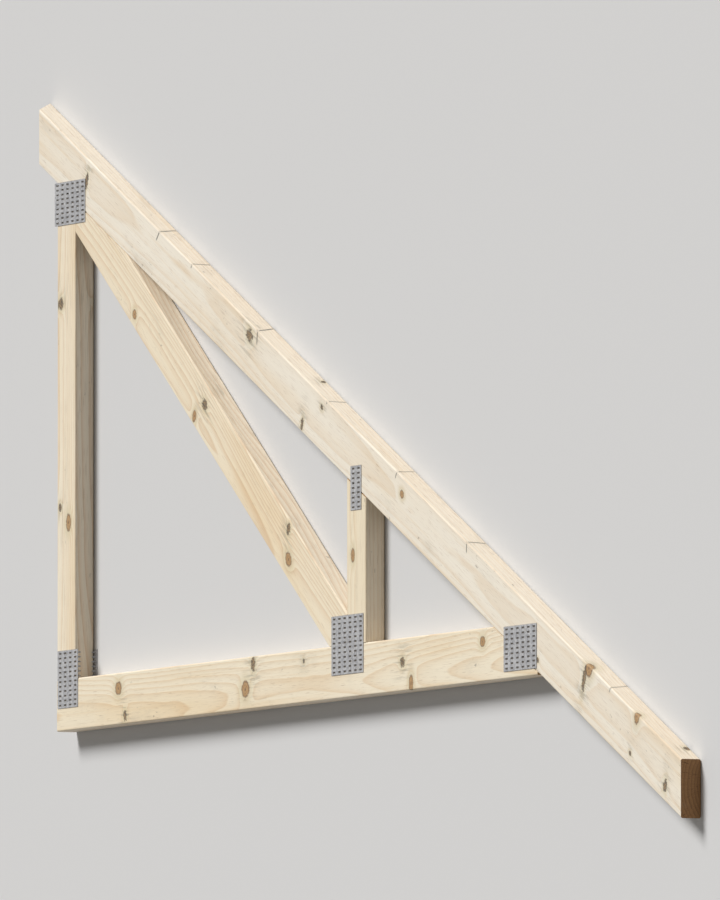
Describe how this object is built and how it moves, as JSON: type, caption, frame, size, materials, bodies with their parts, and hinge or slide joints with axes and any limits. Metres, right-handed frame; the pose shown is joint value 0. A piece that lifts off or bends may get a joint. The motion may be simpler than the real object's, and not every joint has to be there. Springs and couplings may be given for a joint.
{
  "type": "jack roof truss",
  "caption": "Softwood jack truss for a hip roof: pitched top chord with bevelled tip and tail overhang, bottom chord, posts and diagonal web joined by punched nail plates.",
  "frame": {"origin": "middle of the bounding box on the floor, with the truss lying flat on its lower nail plates", "axes": "+X along the bottom chord towards the tail, +Y up the roof as installed, +Z out of the truss's left face"},
  "size_m": [3.07, 1.368, 0.037],
  "materials": {
    "pine": "planed, unsealed",
    "galvanised_sheet": "galvanised, punched"
  },
  "bodies": {
    "root": {"top_chord": "pine", "bottom_chord": "pine", "end_post": "pine", "mid_post": "pine", "diagonal_web": "pine", "heel_plate_upper": "galvanised_sheet", "heel_plate_lower": "galvanised_sheet", "end_head_plate_upper": "galvanised_sheet", "end_head_plate_lower": "galvanised_sheet", "mid_head_plate_upper": "galvanised_sheet", "mid_head_plate_lower": "galvanised_sheet", "mid_foot_plate_upper": "galvanised_sheet", "mid_foot_plate_lower": "galvanised_sheet", "end_foot_plate_upper": "galvanised_sheet", "end_foot_plate_lower": "galvanised_sheet"}
  },
  "joints": []
}
